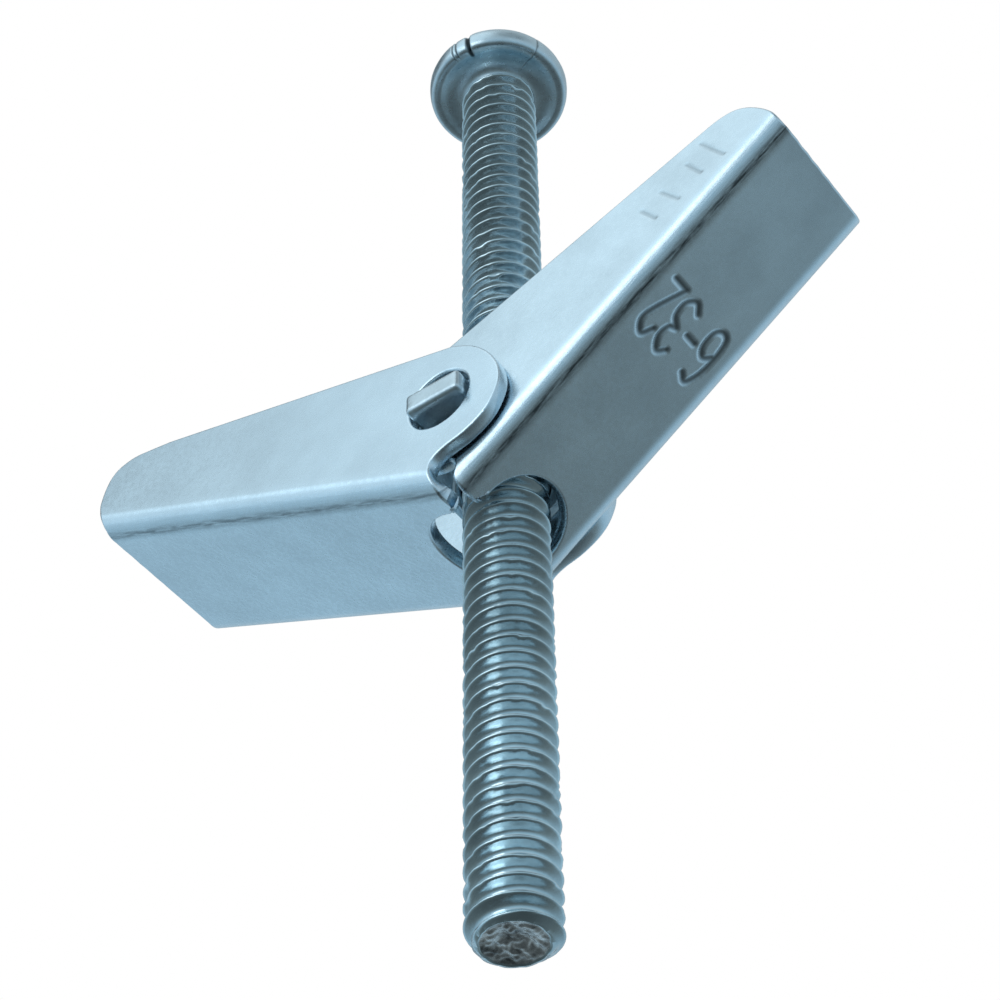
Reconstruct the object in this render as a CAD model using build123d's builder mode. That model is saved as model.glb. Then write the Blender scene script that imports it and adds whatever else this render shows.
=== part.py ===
"""Spring toggle bolt for hollow walls: machine screw, trunnion nut, two folded wings and a torsion spring.

Millimetres. +Z runs up the screw to its head, Y is the trunnion axis, and the wings spread along X.
The origin is on the screw axis at the bearing face under the head.
"""
import math
import os

from build123d import *

# screw: #6-32, round head, slotted
MAJOR_R = 1.7526
PITCH = 0.79375
THREAD_DEPTH = 0.47
THREAD_START_ANGLE = 90.5
CREST_TRIM = 0.03
SHANK_LENGTH = 49.8
ROOT_R = MAJOR_R - THREAD_DEPTH
TIP_R = 1.18
HEAD_R = 3.27
HEAD_BEARING_R = 2.98
HEAD_DISH_R = 2.74
HEAD_DISH_FLOOR_R = 2.30
HEAD_DISH_DEPTH = 0.17
HEAD_RIM_Z = 0.75
HEAD_HEIGHT = 2.40
SLOT_WIDTH = 1.10
SLOT_FLOOR_Z = 0.95
SLOT_ANGLE = 94.0

# trunnion nut, on the screw below the head
PIVOT_Z = -26.0
BORE_R = 1.80
HUB_R = 2.15
HUB_HEIGHT = 2.80
BAR_WIDTH = 2.60
BAR_THICKNESS = 1.10
BAR_EDGE_R = 0.15
BAR_Y_MIN = -5.05
BAR_Y_MAX = 4.40
PLATE_WIDTH = 5.80
PLATE_LENGTH = 4.10
PLATE_CORNER_R = 0.90

# folded wings: u runs out along a wing from the pivot, h up from it towards the head
SHEET = 0.64
WING_Y = -0.42
EAR_HOLE_R = 1.45
BEND_OUTER_R = 0.95
BEND_INNER_R = BEND_OUTER_R - SHEET
OUTER_ANGLE = 25.9
OUTER_WIDTH = 8.21
OUTER_WEB_H = -4.556
OUTER_NOTCH_U = -1.45
OUTER_NOTCH_R = 2.35
INNER_ANGLE = 34.7
INNER_WIDTH = 6.70
INNER_WEB_H = -3.778
INNER_NOTCH_U = -1.70
INNER_NOTCH_R = 2.05
INNER_NOTCH_Y = 0.24

# torsion spring, on the near trunnion between the nut and the inner ear
WIRE_R = 0.135
COIL_R = 1.66
COIL_PITCH = 0.28
COIL_Y = -2.34
LEG_U = 7.5
LEG_GAP = 0.06

OUTER_EAR = [
    (-1.85, -4.556), (-1.32, -3.80), (-1.18, -3.18), (-1.52, -2.62), (-2.20, -2.03), (-2.72, -1.36),
    (-3.00, -0.70), (-3.06, 0.00), (-2.92, 0.68), (-2.55, 1.33), (-1.98, 1.90), (-1.25, 2.37),
    (-0.40, 2.70), (0.60, 2.82),
]
OUTER_TIP = [
    (16.32, 0.10), (17.45, -0.20), (18.34, -0.48), (19.02, -0.98), (19.29, -1.50), (19.31, -2.10),
    (19.18, -2.78), (18.94, -3.36), (18.07, -4.556),
]
INNER_EAR = [
    (-2.27, -3.778), (-2.12, -3.20), (-1.66, -2.80), (-1.62, -2.38), (-2.08, -1.94), (-2.50, -1.35),
    (-2.78, -0.68), (-2.84, 0.05), (-2.70, 0.80), (-2.32, 1.52), (-1.70, 2.24), (-0.80, 2.90),
    (0.40, 3.32), (2.00, 3.36),
]
INNER_TIP = [
    (14.90, -0.14), (15.75, -0.40), (16.42, -0.82), (16.80, -1.42), (16.98, -2.20), (17.00, -2.95),
    (16.86, -3.778),
]


def out_dir(side, angle):
    """Unit vector out along a wing; side is -1 for the outer wing and +1 for the inner."""
    a = math.radians(angle)
    return (side * math.cos(a), 0, math.sin(a))


def up_dir(side, angle):
    a = math.radians(angle)
    return (-side * math.sin(a), 0, math.cos(a))


def side_plane(side, angle):
    return Plane(origin=(0, WING_Y, PIVOT_Z), x_dir=out_dir(side, angle), z_dir=(0, -side, 0))


def section_plane(side, angle):
    """Cross-section plane at u = -5, facing out along the wing."""
    plane = Plane(origin=(0, WING_Y, PIVOT_Z), x_dir=(0, side, 0), z_dir=out_dir(side, angle))
    return plane.offset(-5)


def plan_plane(side, angle):
    return Plane(origin=(0, WING_Y, PIVOT_Z), x_dir=out_dir(side, angle), z_dir=up_dir(side, angle))


def spring_leg(side, angle, web_h):
    """Free end of a leg under a wing, and its tangent point on the coil, as (x, z) about the pivot."""
    out, up = out_dir(side, angle), up_dir(side, angle)
    h = web_h + SHEET + WIRE_R + LEG_GAP
    end = (LEG_U * out[0] + h * up[0], LEG_U * out[2] + h * up[2])
    turn = math.atan2(end[1], end[0]) - side * math.acos(COIL_R / math.hypot(*end))
    return end, (COIL_R * math.cos(turn), COIL_R * math.sin(turn)), turn


# slotted machine screw: headed blank with a rolled right-hand thread up to the head
with BuildPart() as thread:
    with BuildLine() as helix:
        Helix(pitch=PITCH, height=SHANK_LENGTH - 0.78, radius=ROOT_R, center=(0, 0, -SHANK_LENGTH + 0.40))
    with BuildSketch(Plane(origin=helix.line @ 0, z_dir=helix.line % 0, x_dir=(1, 0, 0))) as ridge:
        with BuildLine():
            Polyline((-0.03, -PITCH * 0.42), (THREAD_DEPTH + CREST_TRIM, -PITCH * 0.041),
                     (THREAD_DEPTH + CREST_TRIM, PITCH * 0.041), (-0.03, PITCH * 0.42), close=True)
        make_face()
    sweep(path=helix.line, is_frenet=True)
    Cylinder(MAJOR_R, SHANK_LENGTH, align=(Align.CENTER, Align.CENTER, Align.MAX), mode=Mode.INTERSECT)

with BuildPart() as screw:
    with BuildSketch(Plane.XZ) as blank:
        with BuildLine():
            Polyline((0, HEAD_HEIGHT), (0, -SHANK_LENGTH), (TIP_R, -SHANK_LENGTH),
                     (ROOT_R, -SHANK_LENGTH + 0.10), (ROOT_R, HEAD_DISH_DEPTH),
                     (HEAD_DISH_FLOOR_R, HEAD_DISH_DEPTH), (HEAD_DISH_R, 0), (HEAD_BEARING_R, 0))
            ThreePointArc((HEAD_BEARING_R, 0), (HEAD_R - 0.07, 0.26), (HEAD_R, HEAD_RIM_Z))
            ThreePointArc((HEAD_R, HEAD_RIM_Z), (2.20, HEAD_HEIGHT - 0.52), (0, HEAD_HEIGHT))
        make_face()
    revolve(axis=Axis.Z)
    add(thread.part, rotation=(0, 0, THREAD_START_ANGLE))
    with BuildSketch(Plane.XY.offset(SLOT_FLOOR_Z)) as driver_slot:
        Rectangle(2 * HEAD_R + 1, SLOT_WIDTH, rotation=SLOT_ANGLE)
    extrude(amount=HEAD_HEIGHT, mode=Mode.SUBTRACT)

# nut: round hub through a flat plate, with a narrower trunnion out of each side of the plate
with BuildPart() as trunnion_nut:
    with BuildSketch(Plane.XZ.offset(-BAR_Y_MAX)) as bar:
        with Locations((0, PIVOT_Z)):
            RectangleRounded(BAR_WIDTH, BAR_THICKNESS, BAR_EDGE_R)
    extrude(amount=BAR_Y_MAX - BAR_Y_MIN)
    with BuildSketch(Plane.XY.offset(PIVOT_Z - BAR_THICKNESS / 2)) as plate:
        RectangleRounded(PLATE_WIDTH, PLATE_LENGTH, PLATE_CORNER_R)
    extrude(amount=BAR_THICKNESS)
    with BuildSketch(Plane.XY.offset(PIVOT_Z - HUB_HEIGHT / 2)) as hub:
        Circle(HUB_R)
    extrude(amount=HUB_HEIGHT)
    with BuildSketch(Plane.XY.offset(PIVOT_Z - HUB_HEIGHT / 2 - 1)) as bore:
        Circle(BORE_R)
    extrude(amount=HUB_HEIGHT + 2, mode=Mode.SUBTRACT)

# outer wing: wide channel, its ears outside the inner wing's
with BuildPart() as outer_wing:
    with BuildSketch(section_plane(-1, OUTER_ANGLE)) as channel:
        with Locations((0, OUTER_WEB_H + 4)):
            RectangleRounded(OUTER_WIDTH, 8, BEND_OUTER_R)
            RectangleRounded(OUTER_WIDTH - 2 * SHEET, 8 - 2 * SHEET, BEND_INNER_R, mode=Mode.SUBTRACT)
        with Locations((0, OUTER_WEB_H + 8)):
            Rectangle(OUTER_WIDTH - 2 * SHEET, 3, mode=Mode.SUBTRACT)
    extrude(amount=26)
    with BuildSketch(side_plane(-1, OUTER_ANGLE)) as side:
        with BuildLine():
            Spline(*OUTER_EAR)
            Line(OUTER_EAR[-1], OUTER_TIP[0])
            Spline(*OUTER_TIP)
            Line(OUTER_TIP[-1], OUTER_EAR[0])
        make_face()
    extrude(amount=OUTER_WIDTH, both=True, mode=Mode.INTERSECT)
    with BuildSketch(side_plane(-1, OUTER_ANGLE)) as ear_holes:
        Circle(EAR_HOLE_R)
    extrude(amount=OUTER_WIDTH, both=True, mode=Mode.SUBTRACT)
    with BuildSketch(plan_plane(-1, OUTER_ANGLE).offset(OUTER_WEB_H - 1)) as notch:
        with Locations((OUTER_NOTCH_U, 0)):
            Circle(OUTER_NOTCH_R)
            with Locations((-2, 0)):
                Rectangle(4, 2 * OUTER_NOTCH_R)
    extrude(amount=2.4, mode=Mode.SUBTRACT)

# inner wing: narrower channel that turns inside the outer one
with BuildPart() as inner_wing:
    with BuildSketch(section_plane(1, INNER_ANGLE)) as channel:
        with Locations((0, INNER_WEB_H + 4)):
            RectangleRounded(INNER_WIDTH, 8, BEND_OUTER_R)
            RectangleRounded(INNER_WIDTH - 2 * SHEET, 8 - 2 * SHEET, BEND_INNER_R, mode=Mode.SUBTRACT)
        with Locations((0, INNER_WEB_H + 8)):
            Rectangle(INNER_WIDTH - 2 * SHEET, 3, mode=Mode.SUBTRACT)
    extrude(amount=26)
    with BuildSketch(side_plane(1, INNER_ANGLE)) as side:
        with BuildLine():
            Spline(*INNER_EAR)
            Line(INNER_EAR[-1], INNER_TIP[0])
            Spline(*INNER_TIP)
            Line(INNER_TIP[-1], INNER_EAR[0])
        make_face()
    extrude(amount=INNER_WIDTH, both=True, mode=Mode.INTERSECT)
    with BuildSketch(side_plane(1, INNER_ANGLE)) as ear_holes:
        Circle(EAR_HOLE_R)
    extrude(amount=INNER_WIDTH, both=True, mode=Mode.SUBTRACT)
    with BuildSketch(plan_plane(1, INNER_ANGLE).offset(INNER_WEB_H - 1)) as notch:
        with Locations((INNER_NOTCH_U, INNER_NOTCH_Y)):
            Circle(INNER_NOTCH_R)
            with Locations((-2, 0)):
                Rectangle(4, 2 * INNER_NOTCH_R)
    extrude(amount=2.4, mode=Mode.SUBTRACT)

# spring: two coils round the near trunnion, one leg pressing on each web
with BuildPart() as torsion_spring:
    left_end, left_start, left_turn = spring_leg(-1, OUTER_ANGLE, OUTER_WEB_H)
    right_end, right_start, right_turn = spring_leg(1, INNER_ANGLE, INNER_WEB_H)
    sweep_turns = 2 + (right_turn - left_turn) % (2 * math.pi) / (2 * math.pi)
    points = []
    steps = 24 * int(math.ceil(sweep_turns))
    for n in range(steps + 1):
        t = n / steps * sweep_turns
        a = right_turn - 2 * math.pi * t
        points.append((COIL_R * math.cos(a), COIL_Y - COIL_PITCH * t, PIVOT_Z + COIL_R * math.sin(a)))
    coil_start, coil_end = points[0], points[-1]
    in_dir = Vector(right_start[0] - right_end[0], 0, right_start[1] - right_end[1]).normalized()
    exit_dir = Vector(left_end[0] - left_start[0], 0, left_end[1] - left_start[1]).normalized()
    with BuildLine() as wire_path:
        Line((right_end[0], coil_start[1], PIVOT_Z + right_end[1]), coil_start)
        Spline(*points, tangents=(in_dir, exit_dir))
        Line(coil_end, (left_end[0], coil_end[1], PIVOT_Z + left_end[1]))
    with BuildSketch(Plane(origin=wire_path.line @ 0, z_dir=in_dir)) as wire:
        Circle(WIRE_R)
    sweep(path=wire_path.wire(), is_frenet=False)

os.makedirs("parts", exist_ok=True)
screw.part.label = "screw"
export_step(screw.part, "parts/screw.step")
trunnion_nut.part.label = "trunnion_nut"
export_step(trunnion_nut.part, "parts/trunnion_nut.step")
outer_wing.part.label = "outer_wing"
export_step(outer_wing.part, "parts/outer_wing.step")
inner_wing.part.label = "inner_wing"
export_step(inner_wing.part, "parts/inner_wing.step")
torsion_spring.part.label = "torsion_spring"
export_step(torsion_spring.part, "parts/torsion_spring.step")
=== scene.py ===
import math

import bmesh
import bpy
from mathutils import Matrix, Vector, noise


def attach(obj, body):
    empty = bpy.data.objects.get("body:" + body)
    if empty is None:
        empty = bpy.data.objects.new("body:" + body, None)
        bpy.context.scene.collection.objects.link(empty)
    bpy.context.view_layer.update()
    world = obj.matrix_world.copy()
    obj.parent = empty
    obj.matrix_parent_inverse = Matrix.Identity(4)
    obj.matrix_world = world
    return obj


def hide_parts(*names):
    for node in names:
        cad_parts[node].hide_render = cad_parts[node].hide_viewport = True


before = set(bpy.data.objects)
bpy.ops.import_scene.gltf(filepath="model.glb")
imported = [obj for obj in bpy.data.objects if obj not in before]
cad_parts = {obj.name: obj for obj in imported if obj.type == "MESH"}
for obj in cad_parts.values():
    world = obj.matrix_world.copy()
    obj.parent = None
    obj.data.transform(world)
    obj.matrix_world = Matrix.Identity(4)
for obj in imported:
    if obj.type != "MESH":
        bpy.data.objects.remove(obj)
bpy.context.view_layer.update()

# Screw shank: a cold-drawn steel blank with a right-hand #6-32 thread rolled along its whole length,
# then bright zinc plated. Rolling leaves rounded crests with small nicks, and the end is sheared off.
MM = 0.001


def piece(bm, name, smooth=True):
    """A finished object from a bmesh, at the origin, with its faces pointing outwards."""
    bmesh.ops.recalc_face_normals(bm, faces=bm.faces)
    if bm.calc_volume(signed=True) < 0:
        bmesh.ops.reverse_faces(bm, faces=bm.faces)
    for face in bm.faces:
        face.smooth = smooth
    mesh = bpy.data.meshes.new(name)
    bm.to_mesh(mesh)
    bm.free()
    obj = bpy.data.objects.new(name, mesh)
    bpy.context.scene.collection.objects.link(obj)
    return obj


def zinc(name, tone, rough, peel, peel_size, patch=0.10, patch_size=3.0, bent=False):
    """Bright zinc plate: a pale blue metal with cloudy patches and a fine orange peel."""
    mat = bpy.data.materials.new(name)
    mat.use_nodes = True
    tree = mat.node_tree
    tree.nodes.clear()

    def node(kind, **values):
        made = tree.nodes.new(kind)
        for key, value in values.items():
            if key in made.inputs:
                made.inputs[key].default_value = value
            else:
                setattr(made, key, value)
        return made

    def link(a, out, b, into):
        tree.links.new(a.outputs[out], b.inputs[into])

    coords = node("ShaderNodeTexCoord")
    cloud = node("ShaderNodeTexNoise", Scale=1.0 / (patch_size * MM), Detail=5.0, Roughness=0.6)
    fine = node("ShaderNodeTexNoise", Scale=1.0 / (peel_size * MM), Detail=4.0, Roughness=0.62)
    link(coords, "Object", cloud, "Vector")
    link(coords, "Object", fine, "Vector")
    colour = node("ShaderNodeValToRGB")
    low, high = colour.color_ramp.elements
    low.position, high.position = 0.34, 0.68
    low.color = (*[c * (1 - 1.4 * patch) for c in tone], 1)
    high.color = (*[min(1.0, c * (1 + patch)) for c in tone], 1)
    link(cloud, "Fac", colour, "Fac")
    gloss = node("ShaderNodeMapRange")
    spread = (("From Min", 0.3), ("From Max", 0.72), ("To Min", rough * 0.78), ("To Max", rough * 1.35))
    for key, value in spread:
        gloss.inputs[key].default_value = value
    link(fine, "Fac", gloss, "Value")
    bump = node("ShaderNodeBump", Strength=peel, Distance=0.02 * MM)
    link(fine, "Fac", bump, "Height")
    if bent:
        fold = node("ShaderNodeAttribute", attribute_name="fold")
        blank = node("ShaderNodeAttribute", attribute_name="blank")
        along = node("ShaderNodeMapping")
        along.inputs["Scale"].default_value = (0.55, 5.0, 1.0)
        streaks = node("ShaderNodeTexNoise", Scale=1.6, Detail=5.0, Roughness=0.65)
        link(blank, "Vector", along, "Vector")
        link(along, "Vector", streaks, "Vector")
        stretched = node("ShaderNodeMix", data_type="FLOAT")
        link(fold, "Fac", stretched, 0)
        link(fine, "Fac", stretched, 2)
        link(streaks, "Fac", stretched, 3)
        tree.links.new(stretched.outputs[0], bump.inputs["Height"])
        deeper = node("ShaderNodeMapRange")
        deeper.inputs["To Min"].default_value, deeper.inputs["To Max"].default_value = peel, 0.45
        link(fold, "Fac", deeper, "Value")
        link(deeper, "Result", bump, "Strength")
        # Painted shade: the base colour is mixed towards near black in the pressed grooves (stamped strokes,
        # tool ticks, head seams) and along a streaky line round each near bend. This stands in for the shade
        # inside the grooves and the dark reflection along the fold.
        groove_shade = node("ShaderNodeAttribute", attribute_name="groove_shade")
        bend_shade_line = node("ShaderNodeAttribute", attribute_name="bend_shade_line")
        # The stretched streak noise breaks the painted dark reflection line on the bend into streaks.
        torn = node("ShaderNodeMapRange")
        torn.inputs["From Min"].default_value, torn.inputs["From Max"].default_value = 0.36, 0.58
        link(streaks, "Fac", torn, "Value")
        line = node("ShaderNodeMath", operation="MULTIPLY")
        link(torn, "Result", line, 0)
        link(bend_shade_line, "Fac", line, 1)
        painted_shade_mask = node("ShaderNodeMath", operation="MAXIMUM")
        link(groove_shade, "Fac", painted_shade_mask, 0)
        link(line, "Value", painted_shade_mask, 1)
        # Near-black colour of the painted shade in the grooves and the painted dark reflection on the bends.
        painted_shade = node("ShaderNodeMix", data_type="RGBA")
        painted_shade.inputs[7].default_value = (0.045, 0.06, 0.07, 1)
        link(painted_shade_mask, "Value", painted_shade, 0)
        link(colour, "Color", painted_shade, 6)
    shader = node("ShaderNodeBsdfPrincipled", Metallic=1.0)
    if bent:
        tree.links.new(painted_shade.outputs[2], shader.inputs["Base Color"])
    else:
        link(colour, "Color", shader, "Base Color")
    link(gloss, "Result", shader, "Roughness")
    link(bump, "Normal", shader, "Normal")
    out = node("ShaderNodeOutputMaterial")
    link(shader, "BSDF", out, "Surface")
    return mat


major, root, pitch, shank = 1.7526 * MM, 1.2926 * MM, 0.79375 * MM, 49.8 * MM
first_crest = -0.387 * MM
half = [(0.42, 1.312), (0.34, 1.345), (0.26, 1.410), (0.175, 1.525), (0.10, 1.655), (0.052, 1.732)]
profile = [(-0.50, root)] + [(-part, r * MM) for part, r in half] + [(0.0, major)]
profile += [(part, r * MM) for part, r in reversed(half)]
bm = bmesh.new()
line = [bm.verts.new((r, 0, first_crest - n * pitch + part * pitch))
        for n in range(65, -3, -1) for part, r in profile]
for a, b in zip(line, line[1:]):
    bm.edges.new((a, b))
steps = 72
bmesh.ops.spin(bm, geom=bm.verts[:] + bm.edges[:], cent=(0, 0, 0), axis=(0, 0, 1),
               dvec=(0, 0, pitch / steps), angle=2 * math.pi, steps=steps, use_duplicate=False)
bmesh.ops.remove_doubles(bm, verts=bm.verts, dist=0.0004 * MM)
for v in bm.verts:
    r = math.hypot(v.co.x, v.co.y)
    up = v.co.z + shank
    chamfer = 1.26 * MM + 2.2 * max(0.0, up)
    limit = min(major, chamfer, 1.42 * MM + 0.9 * max(0.0, -v.co.z - 0.05 * MM))
    upset = min(chamfer, 1.60 * MM - 0.9 * max(0.0, up))
    nick = max(0.0, noise.noise(v.co * 2300.0) - 0.20) * 0.15 * MM * (r > major - 0.03 * MM)
    wave = 0.006 * MM * noise.noise(v.co * 900.0) * (r < limit - 0.02 * MM)
    new = max(min(r - nick, limit), upset) + wave
    v.co.x *= new / r
    v.co.y *= new / r
for height, normal in ((-shank, (0, 0, -1)), (0.10 * MM, (0, 0, 1))):
    bmesh.ops.bisect_plane(bm, geom=bm.verts[:] + bm.edges[:] + bm.faces[:], dist=1e-8,
                           plane_co=(0, 0, height), plane_no=normal, clear_outer=True)
cut_ends = list({v for e in bm.edges if e.is_boundary for v in e.verts})
bmesh.ops.remove_doubles(bm, verts=cut_ends, dist=0.02 * MM)
bmesh.ops.holes_fill(bm, edges=[e for e in bm.edges if e.is_boundary], sides=0)
bmesh.ops.recalc_face_normals(bm, faces=bm.faces)
end = [f for f in bm.faces if len(f.verts) > 8 and f.calc_center_median().z < -shank + 0.01 * MM]
for deep, wide in ((0.0, 0.03), (-0.04, 0.05)):
    bmesh.ops.inset_region(bm, faces=end, thickness=wide * MM, depth=deep * MM, use_even_offset=False)
rim = {v for f in end for v in f.verts}
torn = end
tear_step = 0.064
for axis in (0, 1):
    across_tear = [float(axis == i) for i in range(3)]
    for n in range(-18, 19):
        spot = [n * tear_step * MM * (axis == i) for i in range(3)]
        geom = list({v for f in torn for v in f.verts}) + list({e for f in torn for e in f.edges}) + torn
        cut = bmesh.ops.bisect_plane(bm, geom=geom, dist=1e-7, plane_co=spot, plane_no=across_tear)["geom"]
        torn = [f for f in cut if isinstance(f, bmesh.types.BMFace)]
dish_r, dish_deep, tear_deep = 1.18, 0.13, 0.10
for v in {v for f in torn for v in f.verts} - rim:
    r = math.hypot(v.co.x, v.co.y)
    inward = max(0.0, 1 - (r / (dish_r * MM)) ** 2)
    tear = noise.noise(Vector((v.co.x * 2600, v.co.y * 1100, 1.7))) + 0.7 * noise.noise(v.co * 5200.0)
    v.co.z += (dish_deep * inward + tear_deep * tear * min(1.0, 4 * inward)) * MM
for f in torn:
    f.material_index = 1
shank_piece = piece(bm, "screw_shank")
shank_piece.data.materials.append(zinc("zinc_thread", (0.62, 0.75, 0.80), 0.17, 0.20, 0.20, patch=0.16))
torn_zinc = zinc("zinc_torn_end", (0.95, 0.98, 1.0), 0.24, 0.6, 0.12, patch=0.60, patch_size=0.55)
shank_piece.data.materials.append(torn_zinc)
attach(shank_piece, "screw")
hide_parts("screw")

# Screw head: cold headed from the same blank, a low dome over a dished bearing face, with one slot
# sawn across it. The saw leaves sharp slot edges, and heading leaves a few seams across the rim.
def applied(obj):
    """obj with its modifiers made part of its mesh."""
    mesh = bpy.data.meshes.new_from_object(obj.evaluated_get(bpy.context.evaluated_depsgraph_get()))
    obj.modifiers.clear()
    obj.data = mesh
    return obj


outline = [(1.30, -0.30), (1.42, -0.22), (1.50, -0.08), (1.60, 0.03), (1.78, 0.12), (2.05, 0.165),
           (2.35, 0.16), (2.58, 0.095), (2.73, 0.02), (2.80, 0.002), (2.97, 0.004), (3.07, 0.04),
           (3.16, 0.12), (3.22, 0.25), (3.255, 0.42), (3.265, 0.62), (3.262, 0.78), (3.20, 1.00),
           (3.05, 1.27), (2.80, 1.53), (2.45, 1.79), (2.00, 2.03), (1.50, 2.21), (0.95, 2.33),
           (0.45, 2.385), (0.0, 2.398)]
bm = bmesh.new()
line = [bm.verts.new((r * MM, 0, z * MM)) for r, z in outline + [(0.0, -0.30)]]
for a, b in zip(line, line[1:] + line[:1]):
    bm.edges.new((a, b))
bmesh.ops.spin(bm, geom=bm.verts[:] + bm.edges[:], cent=(0, 0, 0), axis=(0, 0, 1), angle=2 * math.pi,
               steps=128, use_merge=True)
bmesh.ops.remove_doubles(bm, verts=bm.verts, dist=0.001 * MM)
seams = []
for angle, deep, inner, wide in ((-81, 0.110, 2.55, 0.028), (-93, 0.045, 2.85, 0.012),
                                 (-97, 0.040, 2.85, 0.012), (-20, 0.030, 1.75, 0.014)):
    seams.append((math.radians(angle), deep * MM, inner, wide))
for seam, deep, inner, wide in seams:
    for shift in (-2.4, -1.6, -1.0, -0.5, 0.0, 0.5, 1.0, 1.6, 2.4):
        a = seam + shift * wide
        bmesh.ops.bisect_plane(bm, geom=bm.verts[:] + bm.edges[:] + bm.faces[:], dist=1e-8,
                               plane_co=(0, 0, 0), plane_no=(-math.sin(a), math.cos(a), 0))
# The seams are dented into the rim, and this mask also darkens their colour as painted shade in the creases.
groove_shade = bm.verts.layers.float.new("groove_shade")
for v in bm.verts:
    r = math.hypot(v.co.x, v.co.y)
    dent = 0.0
    for seam, deep, inner, wide in seams:
        off = (math.atan2(v.co.y, v.co.x) - seam + math.pi) % (2 * math.pi) - math.pi
        dent += deep * math.exp(-(off / wide) ** 2) * max(0.0, min(1.0, (r / MM - inner) / 0.2))
    if v.co.z > 1.1 * MM:
        dent = 0.0
    v[groove_shade] = min(1.0, dent / (0.05 * MM))
    if r > 1.7 * MM:
        v.co.x *= 1 - dent / r
        v.co.y *= 1 - dent / r
        v.co.z += 0.5 * dent * (v.co.z < 0.3 * MM)
head = piece(bm, "screw_head")
bm = bmesh.new()
bmesh.ops.create_cube(bm, size=1.0)
slot_wide, saw_long, saw_high, saw_centre = 1.10, 9, 3, 2.45
bmesh.ops.scale(bm, vec=(slot_wide * MM, saw_long * MM, saw_high * MM), verts=bm.verts)
bmesh.ops.translate(bm, vec=(0, 0, saw_centre * MM), verts=bm.verts)
floor_edges = [e for e in bm.edges if all(v.co.z < 1.0 * MM for v in e.verts)]
floor_edges = [e for e in floor_edges if abs(e.verts[0].co.x - e.verts[1].co.x) < 1e-7]
bmesh.ops.bevel(bm, geom=floor_edges, offset=0.12 * MM, affect="EDGES", segments=3, profile=0.5, material=-1)
bmesh.ops.rotate(bm, cent=(0, 0, 0), matrix=Matrix.Rotation(math.radians(4), 3, "Z"), verts=bm.verts)
saw = piece(bm, "saw")
cut = head.modifiers.new("slot", "BOOLEAN")
cut.operation, cut.solver, cut.object = "DIFFERENCE", "EXACT", saw
applied(head)
bpy.data.objects.remove(saw)
edge = head.modifiers.new("edge", "BEVEL")
edge.width, edge.segments, edge.limit_method, edge.angle_limit = 0.035 * MM, 2, "ANGLE", math.radians(50)
applied(head)
for face in head.data.polygons:
    face.use_smooth = True
head.data.set_sharp_from_angle(angle=math.radians(45))
head.data.materials.append(zinc("zinc_head", (0.62, 0.74, 0.80), 0.30, 0.30, 0.26, patch=0.14, bent=True))
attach(head, "screw")

# Trunnion nut: one steel pressing, a flat plate with a round tapped hub through it and a narrow arm
# out of each side. The arm ends are sheared, so they carry a small burr on their edges.
pivot = Vector((0, 0, -26 * MM))
bm = bmesh.new()
hub_line = [(1.82, -1.30), (1.95, -1.38), (2.05, -1.38), (2.14, -1.28),
            (2.14, 1.28), (2.05, 1.38), (1.95, 1.38), (1.82, 1.30)]
line = [bm.verts.new((r * MM, 0, pivot.z + z * MM)) for r, z in hub_line]
for a, b in zip(line, line[1:] + line[:1]):
    bm.edges.new((a, b))
bmesh.ops.spin(bm, geom=bm.verts[:] + bm.edges[:], cent=(0, 0, 0), axis=(0, 0, 1), angle=2 * math.pi,
               steps=96, use_merge=True)
bmesh.ops.remove_doubles(bm, verts=bm.verts, dist=0.001 * MM)
hub = piece(bm, "nut_hub")
hub.data.set_sharp_from_angle(angle=math.radians(40))
nut_zinc = zinc("zinc_nut", (0.62, 0.72, 0.77), 0.32, 0.5, 0.16, patch=0.12)
hub.data.materials.append(nut_zinc)
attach(hub, "nut")
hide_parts("trunnion_nut")
bm = bmesh.new()
bmesh.ops.create_grid(bm, x_segments=1, y_segments=1, size=0.5)
bmesh.ops.delete(bm, geom=bm.faces[:], context="FACES_ONLY")
plate_long, plate_wide, plate_corner, half_thick = 5.78, 4.08, 0.90, 0.54
bmesh.ops.scale(bm, vec=(plate_long * MM, plate_wide * MM, 1), verts=bm.verts)
bmesh.ops.bevel(bm, geom=bm.verts[:] + bm.edges[:], offset=plate_corner * MM, affect="VERTICES",
                segments=8, profile=0.5, material=-1)
bmesh.ops.create_circle(bm, cap_ends=False, radius=2.0 * MM, segments=64)
bmesh.ops.triangle_fill(bm, edges=bm.edges[:], use_beauty=True, use_dissolve=False, normal=(0, 0, 1))
low_side = bm.verts[:]
top_side = [g for g in bmesh.ops.extrude_face_region(bm, geom=bm.faces[:], use_keep_orig=True)["geom"]
            if isinstance(g, bmesh.types.BMVert)]
bmesh.ops.translate(bm, vec=(0, 0, pivot.z - half_thick * MM), verts=low_side)
bmesh.ops.translate(bm, vec=(0, 0, pivot.z + half_thick * MM), verts=top_side)
bmesh.ops.recalc_face_normals(bm, faces=bm.faces)
corners = [e for e in bm.edges if e.is_manifold and e.calc_face_angle() > 1.2]
bmesh.ops.bevel(bm, geom=corners, offset=0.10 * MM, affect="EDGES", segments=3, profile=0.5, material=-1)
plate = piece(bm, "nut_plate")
plate.data.set_sharp_from_angle(angle=math.radians(40))
plate.data.materials.append(nut_zinc)
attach(plate, "nut")
arm_wide, arm_thick, burr = 2.58, 1.08, 0.018
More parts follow.
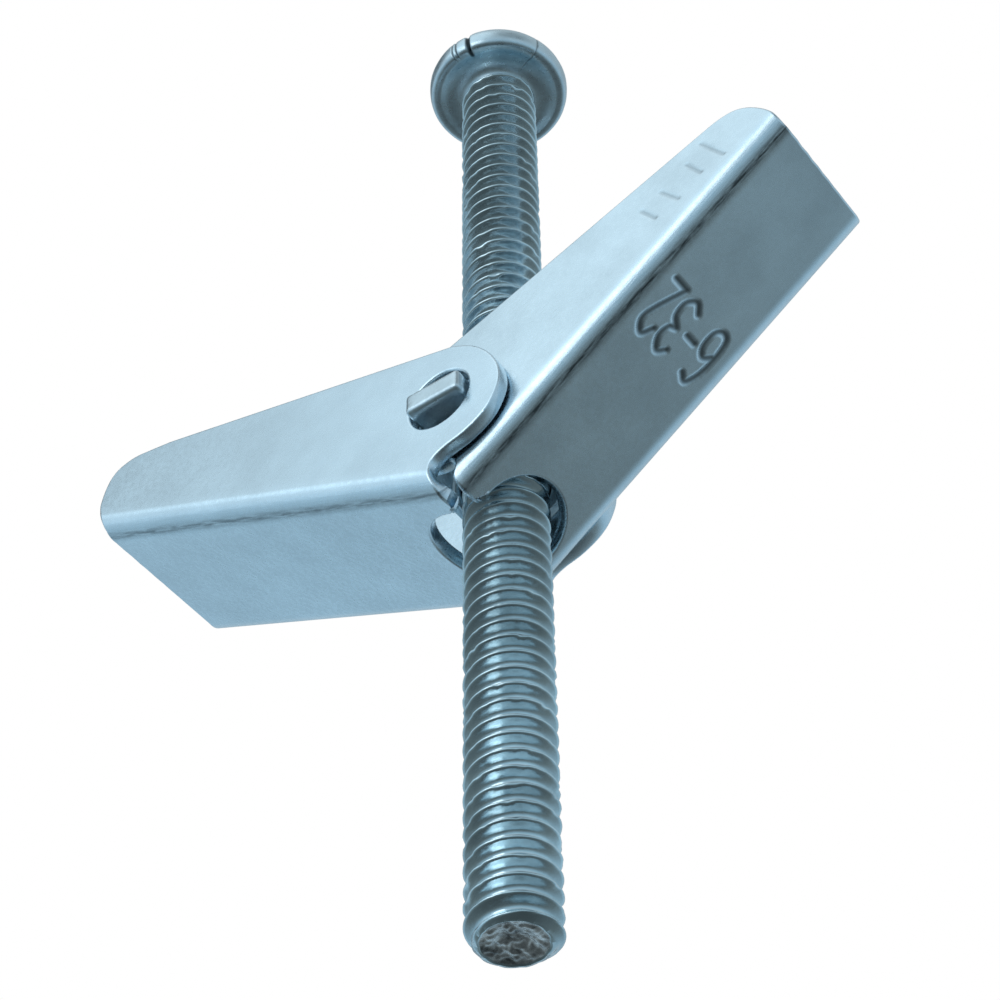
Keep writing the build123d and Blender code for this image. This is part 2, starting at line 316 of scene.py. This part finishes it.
for name, y0, y1 in (("nut_arm_near", -5.04, -1.86), ("nut_arm_far", 1.86, 4.39)):
    bm = bmesh.new()
    bmesh.ops.create_cube(bm, size=1.0)
    bmesh.ops.scale(bm, vec=(arm_wide * MM, (y1 - y0) * MM, arm_thick * MM), verts=bm.verts)
    bmesh.ops.translate(bm, vec=(0, (y0 + y1) / 2 * MM, pivot.z), verts=bm.verts)
    bmesh.ops.bevel(bm, geom=bm.edges[:], offset=0.20 * MM, affect="EDGES",
                    segments=4, profile=0.5, material=-1)
    bmesh.ops.subdivide_edges(bm, edges=[e for e in bm.edges if e.calc_length() > 0.4 * MM], cuts=10,
                              use_grid_fill=True)
    for v in bm.verts:
        outward = 1 if v.co.z > pivot.z else -1
        v.co += Vector((0, 0, -burr * MM * abs(noise.noise(v.co * 1500.0)) * outward))
    arm = piece(bm, name)
    arm.data.materials.append(nut_zinc)
    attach(arm, "nut")

# Torsion spring: hard-drawn wire wound twice round the near arm of the nut, with a straight leg under
# each wing. It is one wire; the coil turns with the nut and each leg swings with the wing it pushes.
def wing_point(side, angle, u, h):
    """The place u along a wing from its pivot and h above it, with the wing opened to its angle."""
    a = math.radians(angle)
    out = u * math.cos(a) - h * math.sin(a)
    up = u * math.sin(a) + h * math.cos(a)
    return Vector((side * out * MM, 0, pivot.z + up * MM))


wire_r, coil_r, coil_pitch = 0.133 * MM, 1.66 * MM, 0.28 * MM
turns, legs = [], []
for side, angle, web in ((1, 34.7, -3.778), (-1, 25.9, -4.556)):
    tip = wing_point(side, angle, 7.45, web + 0.64 + 0.135 + 0.06)
    dx, dz = tip.x, tip.z - pivot.z
    turn = math.atan2(dz, dx) - side * math.acos(coil_r / math.hypot(dx, dz))
    turns.append(turn)
    legs.append((tip, Vector((coil_r * math.cos(turn), 0, pivot.z + coil_r * math.sin(turn)))))
total = 2 + ((turns[0] - turns[1]) % (2 * math.pi)) / (2 * math.pi)
steel = zinc("spring_wire", (0.50, 0.53, 0.56), 0.30, 0.3, 0.10, patch=0.10)
path = []
for n in range(121):
    t = n / 120 * total
    a = turns[0] - 2 * math.pi * t
    path.append(Vector((coil_r * math.cos(a), -2.34 * MM - coil_pitch * t, pivot.z + coil_r * math.sin(a))))
legs[0] = [Vector((p.x, path[0].y, p.z)) for p in legs[0]]
legs[1] = [Vector((p.x, path[-1].y, p.z)) for p in legs[1]]
for name, points, body in (("spring_coil", path, "nut"), ("spring_leg_inner", legs[0], "inner_wing"),
                           ("spring_leg_outer", legs[1], "outer_wing")):
    curve = bpy.data.curves.new(name, "CURVE")
    curve.dimensions, curve.bevel_depth, curve.bevel_resolution, curve.use_fill_caps = "3D", wire_r, 5, True
    spline = curve.splines.new("POLY")
    spline.points.add(len(points) - 1)
    for slot_point, p in zip(spline.points, points):
        slot_point.co = (*p, 1)
    wire = bpy.data.objects.new(name, curve)
    bpy.context.scene.collection.objects.link(wire)
    curve.materials.append(steel)
    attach(wire, body)
    if name == "spring_coil":
        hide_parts("torsion_spring")

# Wings: blanked from 0.64 mm strip, with the ear holes and the screw notch punched flat, then folded
# up into a channel. The fold leaves a bright stretched bend and the blanking leaves a rounded edge.
def smooth_line(points, count):
    """Points evenly spread along a smooth curve through the given ones."""
    pts = [Vector(p) for p in points]
    pts = [2 * pts[0] - pts[1]] + pts + [2 * pts[-1] - pts[-2]]
    out = []
    for i in range(1, len(pts) - 2):
        p0, p1, p2, p3 = pts[i - 1:i + 3]
        for n in range(count):
            t = n / count
            out.append(0.5 * ((2 * p1) + (p2 - p0) * t + (2 * p0 - 5 * p1 + 4 * p2 - p3) * t * t
                              + (3 * p1 - p0 - 3 * p2 + p3) * t ** 3))
    return out + [pts[-2]]


def folded_wing(name, side, angle, width, web, ear, tip, notch, bend_shade, marks=None, fine=()):
    """A channel wing, worked flat as a blank (u along it, s across it, in mm) and then folded up.

    fine lists (axis, low, high, step): where the blank is cut finely enough to carry its marks.
    The layers come before the first vertex, because adding one drops every vertex already held.
    """
    sheet, bend, centre, hole_r = 0.64, 0.95, -0.42, 1.45
    flat = width / 2 - bend
    arc = bend * math.pi / 2

    def across(h):
        rise = h - web
        if rise < bend:
            return flat + bend * math.acos(max(-1.0, min(1.0, 1 - rise / bend)))
        return flat + arc + rise - bend

    def folded(u, s, depth):
        sign, far, r = (1 if s >= 0 else -1), abs(s), bend - depth
        if far <= flat:
            y, h = s, web + bend - r
        elif far <= flat + arc:
            t = (far - flat) / bend
            y, h = sign * (flat + r * math.sin(t)), web + bend - r * math.cos(t)
        else:
            y, h = sign * (flat + r), web + bend + far - flat - arc
        return wing_point(side, angle, u, h) + Vector((0, (centre + y) * MM, 0))

    outline, end = smooth_line(ear, 6), smooth_line(tip, 6)
    flange = [(p[0], across(p[1])) for p in outline + end]
    nu, nr, ny = notch
    tip_u, leg_u, nose = flange[-1][0], flange[0][0], 0.28
    tip_edge = [(tip_u + 0.03 * math.sin(3.1 * n), flat * (1 - n / 6)) for n in range(1, 12)]
    bowl_angles = [math.pi * (n / 40 - 0.5) for n in range(41)]
    bowl = [(nu + nr * math.cos(a), ny + nr * math.sin(a)) for a in bowl_angles]
    turn = [0.3 + 0.318 * n for n in range(5)]
    far_leg = [(leg_u, ny + nr + nose * 1.2)]
    far_leg += [(leg_u + nose * (1 - math.cos(a)), ny + nr + nose * (1 - math.sin(a))) for a in turn]
    near_leg = [(leg_u + nose * (1 - math.cos(a)), ny - nr - nose * (1 - math.sin(a)))
                for a in reversed(turn)]
    near_leg += [(leg_u, ny - nr - nose * 1.2)]
    ring = flange + tip_edge + [(u, -s) for u, s in reversed(flange)] + near_leg + bowl + far_leg

    bm = bmesh.new()
    blank = bm.verts.layers.float_vector.new("blank")
    fold = bm.verts.layers.float.new("fold")
    groove_shade = bm.verts.layers.float.new("groove_shade")
    bend_shade_line = bm.verts.layers.float.new("bend_shade_line")
    made = [bm.verts.new((u, s, 0)) for u, s in ring]
    for a, b in zip(made, made[1:] + made[:1]):
        bm.edges.new((a, b))
    bmesh.ops.remove_doubles(bm, verts=bm.verts, dist=0.05)
    for sign in (1, -1):
        bmesh.ops.create_circle(bm, cap_ends=False, radius=hole_r, segments=56,
                                matrix=Matrix.Translation((0, sign * (flat + arc - bend - web), 0)))
    bmesh.ops.triangle_fill(bm, edges=bm.edges[:], use_beauty=True, use_dissolve=False, normal=(0, 0, 1))
    core = bm.faces[:]
    for v in bm.verts:
        v.co.z = 0.09
    for wide, lift in ((0.03, 0.03), (0.06, 0.0), (0.03, 0.0)):
        bmesh.ops.inset_region(bm, faces=core, thickness=wide, use_even_offset=True, use_boundary=True)
        for v in {v for f in core for v in f.verts}:
            v.co.z = lift
    middle = set(core)
    for e in bm.edges:
        e.seam = len(e.link_faces) == 2 and all(f in middle for f in e.link_faces)
    reach = max(s for _, s in ring)
    rows = [flat * n / 10 for n in range(11)] + [flat + arc * n / 16 for n in range(1, 17)]
    rows += [flat + arc + 0.34 * n for n in range(1, int((reach - flat - arc) / 0.34) + 1)]
    cuts = [(0, -3.2 + 0.34 * n) for n in range(66)] + [(1, s) for s in rows] + [(1, -s) for s in rows[1:]]
    for axis, low, high, step in fine:
        cuts = [(i, at) for i, at in cuts if i != axis or not low - step / 2 < at < high + step / 2]
        cuts += [(axis, low + step * n) for n in range(round((high - low) / step) + 1)]
    for axis, at in cuts:
        spot = [at * (axis == i) for i in range(3)]
        toward = [float(axis == i) for i in range(3)]
        bmesh.ops.bisect_plane(bm, geom=bm.verts[:] + bm.edges[:] + bm.faces[:], dist=1e-4,
                               plane_co=spot, plane_no=toward)
    bmesh.ops.dissolve_edges(bm, edges=[e for e in bm.edges if e.seam], use_verts=True, use_face_split=False)
    inner_side = bmesh.ops.extrude_face_region(bm, geom=bm.faces[:], use_keep_orig=True)["geom"]
    inner_verts = {v for v in inner_side if isinstance(v, bmesh.types.BMVert)}
    for v in bm.verts:
        u, s, depth = v.co
        if v in inner_verts:
            depth = sheet - depth
        else:
            pressed = marks(u, s) if marks else 0.0
            # Painted shade: the depth of the pressed strokes and ticks also darkens their colour. This
            # stands in for the shade inside the grooves.
            v[groove_shade] = min(0.66, pressed / 0.10)
            depth += pressed + 0.002 * (0.5 + 0.5 * noise.noise(Vector((u * 0.6, s * 0.6, side))))
        t = (abs(s) - flat) / arc
        v[blank] = (u, s, depth)
        # Painted reflection: a narrow band about a quarter of the way round each near bend. The material
        # turns it into a streaky dark line that stands in for the dark reflection along the fold.
        v[bend_shade_line] = bend_shade * math.exp(-((t - 0.26) / 0.11) ** 2) if s < 0 else 0.0
        v[fold] = max(0.0, 1 - abs(2 * t - 1.1) ** 2) if -0.1 < t < 1.1 else 0.0
        v.co = folded(u, s, depth)
    return piece(bm, name)


outer = folded_wing(
    "outer_wing_sheet", -1, 25.9, 8.20, -4.55,
    [(-1.85, -4.55), (-1.32, -3.80), (-1.18, -3.18), (-1.52, -2.62), (-2.20, -2.03), (-2.72, -1.36),
     (-3.00, -0.70), (-3.05, 0.00), (-2.92, 0.68), (-2.55, 1.33), (-1.98, 1.90), (-1.25, 2.37),
     (-0.40, 2.69), (0.60, 2.81)],
    [(16.32, 0.09), (17.45, -0.21), (18.34, -0.49), (19.01, -0.98), (19.28, -1.50), (19.30, -2.10),
     (19.17, -2.78), (18.93, -3.36), (18.06, -4.55)],
    (-1.45, 2.35, 0.0), 0.60)
outer_zinc = zinc("zinc_outer_wing", (0.71, 0.84, 0.92), 0.27, 0.03, 0.20, patch=0.05, bent=True)
outer.data.materials.append(outer_zinc)
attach(outer, "outer_wing")
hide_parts("outer_wing")

# Inner wing: the same pressing, narrower, so its ears turn inside the outer wing's. It is stamped with
# the thread size, and the fold tool has left four short strokes across its near flange.
def stroke_depth(strokes, width, deep):
    """Depth of stamped strokes at a point of the blank, as a smooth V groove round each line."""
    def depth(u, s):
        best = 9.0
        for (a0, b0), (a1, b1) in strokes:
            du, ds = a1 - a0, b1 - b0
            t = max(0.0, min(1.0, ((u - a0) * du + (s - b0) * ds) / max(1e-9, du * du + ds * ds)))
            best = min(best, math.hypot(u - a0 - t * du, s - b0 - t * ds))
        return deep * max(0.0, 1 - (best / width) ** 2) if best < width else 0.0
    return depth


numerals = {
    "6": [smooth_line([(0.95, 1.85), (0.45, 2.0), (0.10, 1.5), (0.0, 0.8), (0.15, 0.15),
                       (0.6, 0.0), (1.0, 0.25), (1.0, 0.8), (0.6, 1.05), (0.12, 0.8)], 4)],
    "-": [[(0.1, 0.95), (0.75, 0.95)]],
    "3": [smooth_line([(0.05, 1.75), (0.5, 2.0), (0.95, 1.65), (0.85, 1.2), (0.45, 1.05)], 4),
          smooth_line([(0.45, 1.05), (0.95, 0.8), (1.0, 0.3), (0.5, 0.0), (0.0, 0.25)], 4)],
    "2": [smooth_line([(0.05, 1.6), (0.45, 2.0), (0.95, 1.7), (0.80, 1.15), (0.05, 0.0)], 4),
          [(0.05, 0.0), (1.0, 0.0)]],
}
strokes, pen = [], 0.0
for letter in "6-32":
    for stroke in numerals[letter]:
        placed = [(9.5 - 1.25 * p[1], 1.95 - 0.82 * (pen + p[0])) for p in stroke]
        strokes += list(zip(placed, placed[1:]))
    pen += 1.05 if letter == "-" else 1.38
stamp = stroke_depth(strokes, 0.165, 0.075)
ticks = stroke_depth([((14.58, -6.00), (14.53, -4.25)), ((13.51, -5.75), (13.45, -4.60)),
                      ((12.02, -5.80), (12.05, -4.55)), ((10.94, -5.95), (10.91, -4.85))], 0.11, 0.035)
stamp_and_tick_cuts = ((0, 6.7, 9.8, 0.065), (1, -2.3, 2.3, 0.065),
                       (0, 10.7, 14.8, 0.09), (1, -6.2, -4.0, 0.09))
inner = folded_wing(
    "inner_wing_sheet", 1, 34.7, 6.69, -3.775,
    [(-2.27, -3.775), (-2.12, -3.20), (-1.66, -2.80), (-1.62, -2.38), (-2.08, -1.94), (-2.50, -1.35),
     (-2.78, -0.68), (-2.83, 0.05), (-2.70, 0.80), (-2.32, 1.52), (-1.70, 2.24), (-0.80, 2.90),
     (0.40, 3.31), (2.00, 3.35)],
    [(14.90, -0.15), (15.75, -0.41), (16.42, -0.82), (16.79, -1.42), (16.97, -2.20), (16.99, -2.95),
     (16.85, -3.775)],
    (-1.70, 2.05, 0.24), 0.95, marks=lambda u, s: stamp(u, s) + ticks(u, s), fine=stamp_and_tick_cuts)
inner_zinc = zinc("zinc_inner_wing", (0.71, 0.83, 0.90), 0.26, 0.03, 0.20, patch=0.07, bent=True)
inner.data.materials.append(inner_zinc)
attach(inner, "inner_wing")
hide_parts("inner_wing")

# Studio: a pale floor well below the part, a room that is dark below and brighter from the middle up,
# with two bright and two dark patches that the zinc reflects, and one soft box in front.
bm = bmesh.new()
floor_height = -0.26
bmesh.ops.create_grid(bm, x_segments=2, y_segments=2, size=2.0)
bmesh.ops.translate(bm, vec=(0, 0, floor_height), verts=bm.verts)
floor = piece(bm, "floor")
paint = bpy.data.materials.new("floor_paint")
paint.use_nodes = True
shader = paint.node_tree.nodes["Principled BSDF"]
shader.inputs["Base Color"].default_value = (0.86, 0.87, 0.88, 1)
shader.inputs["Roughness"].default_value = 0.8
shader.inputs["Emission Color"].default_value = (0.95, 0.97, 1.0, 1)
shader.inputs["Emission Strength"].default_value = 0.42
floor.data.materials.append(paint)
floor.visible_glossy = False
bpy.context.scene.view_settings.view_transform = "Standard"
world = bpy.data.worlds.new("studio")
bpy.context.scene.world = world
world.use_nodes = True
tree = world.node_tree
tree.nodes.clear()
ray = tree.nodes.new("ShaderNodeLightPath")
white = tree.nodes.new("ShaderNodeBackground")
white.inputs["Color"].default_value = (1, 1, 1, 1)
facing = tree.nodes.new("ShaderNodeTexCoord")
split = tree.nodes.new("ShaderNodeSeparateXYZ")
height = tree.nodes.new("ShaderNodeMapRange")
height.inputs["From Min"].default_value = -1.0
sky = tree.nodes.new("ShaderNodeValToRGB")
bands = ((0.0, (0.06, 0.075, 0.08)), (0.135, (0.118, 0.150, 0.162)), (0.19, (0.148, 0.182, 0.188)),
         (0.425, (0.375, 0.54, 0.65)), (0.62, (0.46, 0.58, 0.66)), (0.865, (0.42, 0.50, 0.54)),
         (1.0, (0.46, 0.52, 0.55)))
for n, (at, colour) in enumerate(bands):
    stop = sky.color_ramp.elements[n] if n < 2 else sky.color_ramp.elements.new(at)
    stop.position = at
for stop, (at, colour) in zip(sky.color_ramp.elements, bands):
    stop.position, stop.color = at, (*colour, 1)
strength = None
patches = (((-0.157, -0.664, 0.731), (0.80, 0.95), 1.88), ((-0.66, -0.174, 0.731), (0.90, 0.97), 0.30),
           ((0.577, -0.364, 0.731), (0.93, 0.98), 0.55), ((-0.60, -0.74, 0.30), (0.88, 0.97), 1.35))
for toward, (start, full), gain in patches:
    shade = tree.nodes.new("ShaderNodeVectorMath")
    shade.operation = "DOT_PRODUCT"
    shade.inputs[1].default_value = toward
    lobe = tree.nodes.new("ShaderNodeMapRange")
    lobe.interpolation_type = "SMOOTHSTEP"
    for key, value in (("From Min", start), ("From Max", full), ("To Min", 1.0), ("To Max", gain)):
        lobe.inputs[key].default_value = value
    tree.links.new(facing.outputs["Generated"], shade.inputs[0])
    tree.links.new(shade.outputs["Value"], lobe.inputs["Value"])
    if strength is None:
        strength = lobe.outputs["Result"]
    else:
        both = tree.nodes.new("ShaderNodeMath")
        both.operation = "MULTIPLY"
        tree.links.new(strength, both.inputs[0])
        tree.links.new(lobe.outputs["Result"], both.inputs[1])
        strength = both.outputs["Value"]
room = tree.nodes.new("ShaderNodeBackground")
mix = tree.nodes.new("ShaderNodeMixShader")
out = tree.nodes.new("ShaderNodeOutputWorld")
tree.links.new(facing.outputs["Generated"], split.inputs[0])
tree.links.new(split.outputs["Z"], height.inputs["Value"])
tree.links.new(height.outputs["Result"], sky.inputs["Fac"])
tree.links.new(sky.outputs["Color"], room.inputs["Color"])
tree.links.new(strength, room.inputs["Strength"])
tree.links.new(ray.outputs["Is Camera Ray"], mix.inputs[0])
tree.links.new(room.outputs[0], mix.inputs[1])
tree.links.new(white.outputs[0], mix.inputs[2])
tree.links.new(mix.outputs[0], out.inputs[0])
lamp = bpy.data.lights.new("front", "AREA")
lamp.size, lamp.energy, lamp.color = 0.20, 0.14, (0.97, 0.99, 1.0)
lamp_object = bpy.data.objects.new("front", lamp)
lamp_object.location = (-0.02, -0.34, 0.02)
aim = Vector((0, 0, -0.025)) - Vector((-0.02, -0.34, 0.02))
lamp_object.rotation_euler = aim.to_track_quat("-Z", "Y").to_euler()
bpy.context.scene.collection.objects.link(lamp_object)

# Camera: below and in front of the part, looking up at it, on a long lens. The small shift only
# centres the part in the frame.
az, el, roll = -0.606, 0.8196, 0.0222
ahead = Vector((math.sin(az) * math.cos(el), math.cos(az) * math.cos(el), math.sin(el)))
right = Vector((math.cos(az), -math.sin(az), 0))
down = ahead.cross(right)
c, s = math.cos(roll), math.sin(roll)
right, down = c * right + s * down, -s * right + c * down
camera_data = bpy.data.cameras.new("camera")
camera_data.sensor_width, camera_data.lens = 36, 93.77
camera_data.clip_start = 0.001
camera_data.shift_x, camera_data.shift_y = -0.01439, -0.00587
camera = bpy.data.objects.new("camera", camera_data)
turn = Matrix((right, -down, -ahead)).transposed().to_4x4()
camera.matrix_world = Matrix.Translation((0.04064, -0.05807, -0.10352)) @ turn
bpy.context.scene.collection.objects.link(camera)
bpy.context.scene.camera = camera
